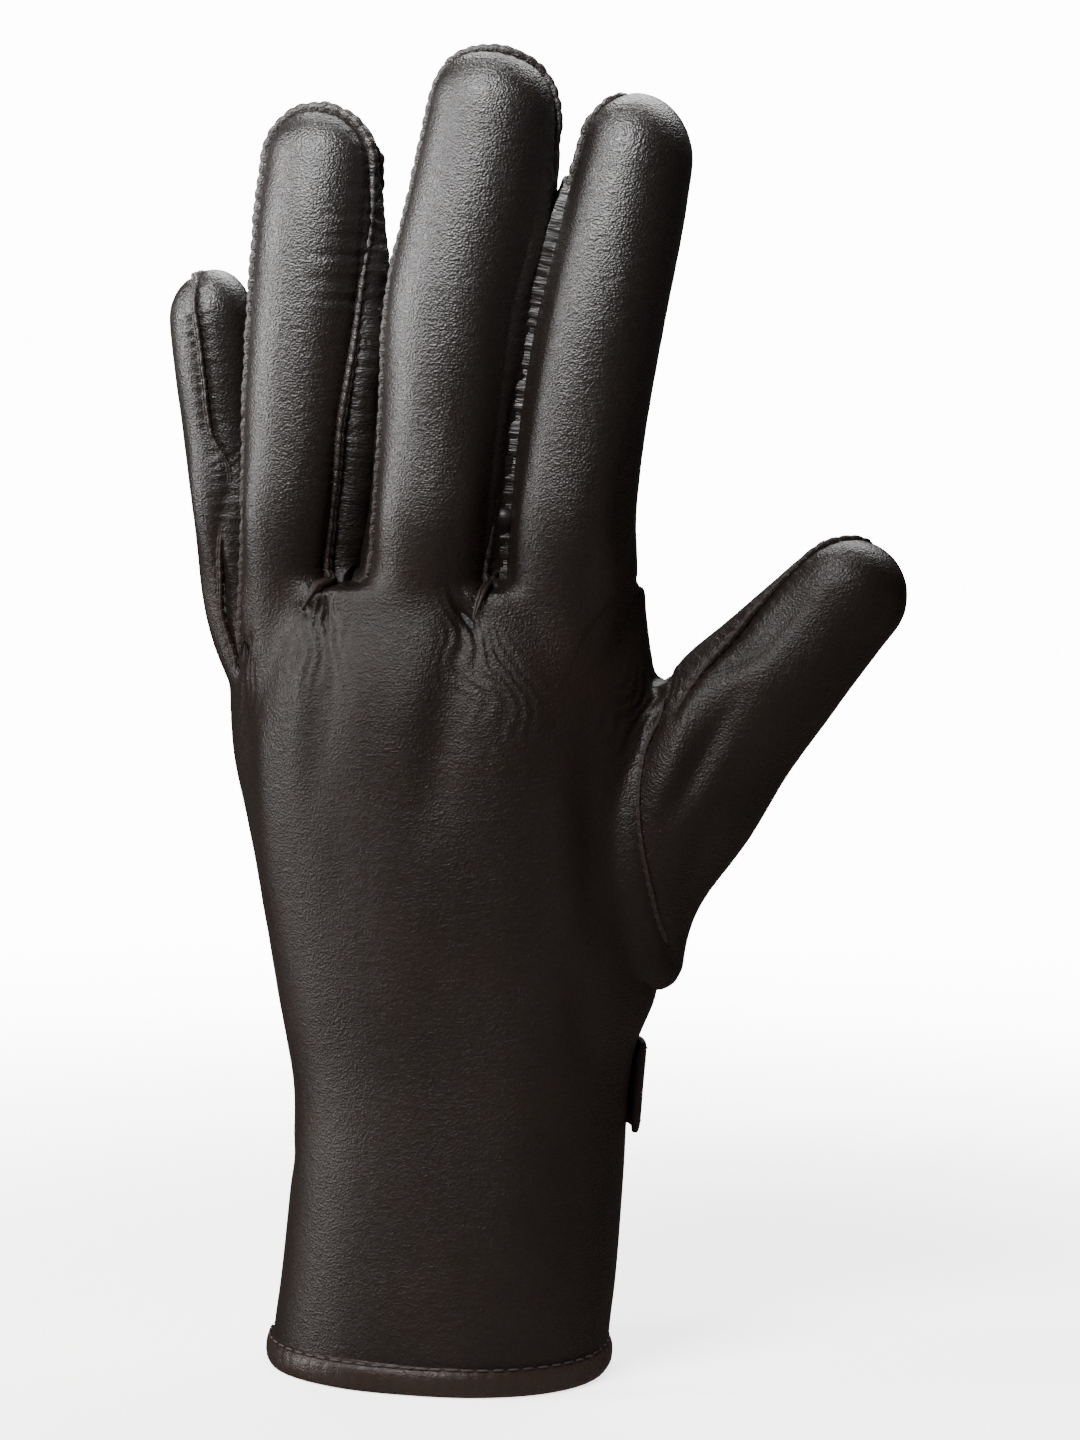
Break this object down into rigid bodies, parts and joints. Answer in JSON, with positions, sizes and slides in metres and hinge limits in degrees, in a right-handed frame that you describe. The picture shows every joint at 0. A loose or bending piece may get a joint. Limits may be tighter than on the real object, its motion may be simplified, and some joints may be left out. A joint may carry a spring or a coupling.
{
  "type": "leather touchscreen glove",
  "caption": "Left-hand leather dress glove with outseamed fingers, fourchettes, bound cuff, wrist strap with snap and touch pads; fingers, thumb and strap bend on hinges.",
  "frame": {"origin": "centre of the bottom of the bounding box, level with the underside of the cuff hem", "axes": "+Z from the cuff to the fingertips, back of the hand faces -Y, palm faces +Y, thumb points to +X"},
  "size_m": [0.1458, 0.0538, 0.26],
  "materials": {
    "glove_leather": "smooth nappa, soft semi-gloss, very dark brown",
    "fourchette_leather": "smooth nappa, soft semi-gloss",
    "hem_leather": "smooth nappa, folded and topstitched",
    "strap_leather": "smooth nappa, folded edges",
    "conductive_leather": "finer, slightly more matt conductive leather",
    "knit_lining": "fine brushed knit",
    "snap_metal": "dark lacquered metal, satin"
  },
  "bodies": {
    "hand": {"thumb_root": "glove_leather", "little_ring_fourchette_root": "fourchette_leather", "ring_middle_fourchette_root": "fourchette_leather", "middle_index_fourchette_root": "fourchette_leather", "back_of_hand": "glove_leather", "hem_band": "hem_leather", "snap_stud": "snap_metal", "snap_post": "snap_metal", "palm": "glove_leather", "hand_lining": "knit_lining"},
    "strap": {"strap": "strap_leather", "snap_cap": "snap_metal", "snap_socket": "snap_metal"},
    "thumb_lower": {"thumb_lower": "glove_leather", "thumb_lining_lower": "knit_lining"},
    "thumb_tip": {"thumb_tip": "glove_leather", "thumb_touch_pad": "conductive_leather", "thumb_lining_tip": "knit_lining"},
    "index_lower": {"index_outer_fourchette_lower": "fourchette_leather", "index_trank_lower": "glove_leather", "index_lining_lower": "knit_lining"},
    "index_upper": {"index_outer_fourchette_upper": "fourchette_leather", "index_trank_upper": "glove_leather", "index_lining_upper": "knit_lining"},
    "index_tip": {"index_trank_tip": "glove_leather", "index_touch_pad": "conductive_leather", "index_lining_tip": "knit_lining"},
    "middle_lower": {"middle_outer_fourchette_lower": "fourchette_leather", "middle_inner_fourchette_lower": "fourchette_leather", "middle_back_lower": "glove_leather", "middle_palm_lower": "glove_leather", "middle_lining_lower": "knit_lining"},
    "middle_upper": {"middle_outer_fourchette_upper": "fourchette_leather", "middle_inner_fourchette_upper": "fourchette_leather", "middle_back_upper": "glove_leather", "middle_palm_upper": "glove_leather", "middle_lining_upper": "knit_lining"},
    "middle_tip": {"middle_trank_tip": "glove_leather", "middle_lining_tip": "knit_lining"},
    "ring_lower": {"ring_outer_fourchette_lower": "fourchette_leather", "ring_inner_fourchette_lower": "fourchette_leather", "ring_back_lower": "glove_leather", "ring_palm_lower": "glove_leather", "ring_lining_lower": "knit_lining"},
    "ring_upper": {"ring_outer_fourchette_upper": "fourchette_leather", "ring_inner_fourchette_upper": "fourchette_leather", "ring_back_upper": "glove_leather", "ring_palm_upper": "glove_leather", "ring_lining_upper": "knit_lining"},
    "ring_tip": {"ring_trank_tip": "glove_leather", "ring_lining_tip": "knit_lining"},
    "little_lower": {"little_inner_fourchette_lower": "fourchette_leather", "little_trank_lower": "glove_leather", "little_lining_lower": "knit_lining"},
    "little_upper": {"little_inner_fourchette_upper": "fourchette_leather", "little_trank_upper": "glove_leather", "little_lining_upper": "knit_lining"},
    "little_tip": {"little_trank_tip": "glove_leather", "little_lining_tip": "knit_lining"}
  },
  "joints": [
    {"name": "index_knuckle", "type": "hinge", "parent": "hand", "child": "index_lower", "pos_m": [0.01048, -0.00072, 0.17], "axis": [-1, 0, 0], "range_deg": [0, 70]},
    {"name": "index_middle_joint", "type": "hinge", "parent": "index_lower", "child": "index_upper", "pos_m": [0.01361, -0.00148, 0.197], "axis": [-1, 0, 0], "range_deg": [0, 85]},
    {"name": "index_end_joint", "type": "hinge", "parent": "index_upper", "child": "index_tip", "pos_m": [0.01843, 0.00003, 0.224], "axis": [-1, 0, 0], "range_deg": [0, 42.5]},
    {"name": "middle_knuckle", "type": "hinge", "parent": "hand", "child": "middle_lower", "pos_m": [-0.01661, -0.00376, 0.171], "axis": [-1, 0, 0], "range_deg": [0, 70]},
    {"name": "middle_middle_joint", "type": "hinge", "parent": "middle_lower", "child": "middle_upper", "pos_m": [-0.01415, -0.00462, 0.202], "axis": [-1, 0, 0], "range_deg": [0, 85]},
    {"name": "middle_end_joint", "type": "hinge", "parent": "middle_upper", "child": "middle_tip", "pos_m": [-0.0087, -0.00331, 0.232], "axis": [-1, 0, 0], "range_deg": [0, 42.5]},
    {"name": "ring_knuckle", "type": "hinge", "parent": "hand", "child": "ring_lower", "pos_m": [-0.04593, 0.00025, 0.17], "axis": [-0.9781, 0.2079, 0], "range_deg": [0, 70]},
    {"name": "ring_middle_joint", "type": "hinge", "parent": "ring_lower", "child": "ring_upper", "pos_m": [-0.04411, -0.00052, 0.195], "axis": [-0.9781, 0.2079, 0], "range_deg": [0, 85]},
    {"name": "ring_end_joint", "type": "hinge", "parent": "ring_upper", "child": "ring_tip", "pos_m": [-0.04246, 0.00048, 0.222], "axis": [-0.9781, 0.2079, 0], "range_deg": [0, 42.5]},
    {"name": "little_knuckle", "type": "hinge", "parent": "hand", "child": "little_lower", "pos_m": [-0.0601, 0.01506, 0.1555], "axis": [-0.9781, 0.2079, 0], "range_deg": [0, 70]},
    {"name": "little_middle_joint", "type": "hinge", "parent": "little_lower", "child": "little_upper", "pos_m": [-0.06195, 0.01394, 0.175], "axis": [-0.9781, 0.2079, 0], "range_deg": [0, 85]},
    {"name": "little_end_joint", "type": "hinge", "parent": "little_upper", "child": "little_tip", "pos_m": [-0.06378, 0.01194, 0.194], "axis": [-0.9781, 0.2079, 0], "range_deg": [0, 42.5]},
    {"name": "thumb_swing", "type": "hinge", "parent": "hand", "child": "thumb_lower", "pos_m": [0.03125, 0.007, 0.1185], "axis": [0, -1, 0], "range_deg": [-12, 18]},
    {"name": "thumb_bend", "type": "hinge", "parent": "thumb_lower", "child": "thumb_tip", "pos_m": [0.05133, 0.00959, 0.14297], "axis": [-0.7509, 0, 0.6605], "range_deg": [0, 60]},
    {"name": "strap_hinge", "type": "hinge", "parent": "hand", "child": "strap", "pos_m": [0.02235, 0.004, 0.057], "axis": [0, 0, -1], "range_deg": [0, 100]}
  ],
  "couplings": [
    {"joint": "index_end_joint", "follows": "index_middle_joint", "ratio": 0.5},
    {"joint": "middle_end_joint", "follows": "middle_middle_joint", "ratio": 0.5},
    {"joint": "ring_end_joint", "follows": "ring_middle_joint", "ratio": 0.5},
    {"joint": "little_end_joint", "follows": "little_middle_joint", "ratio": 0.5}
  ]
}
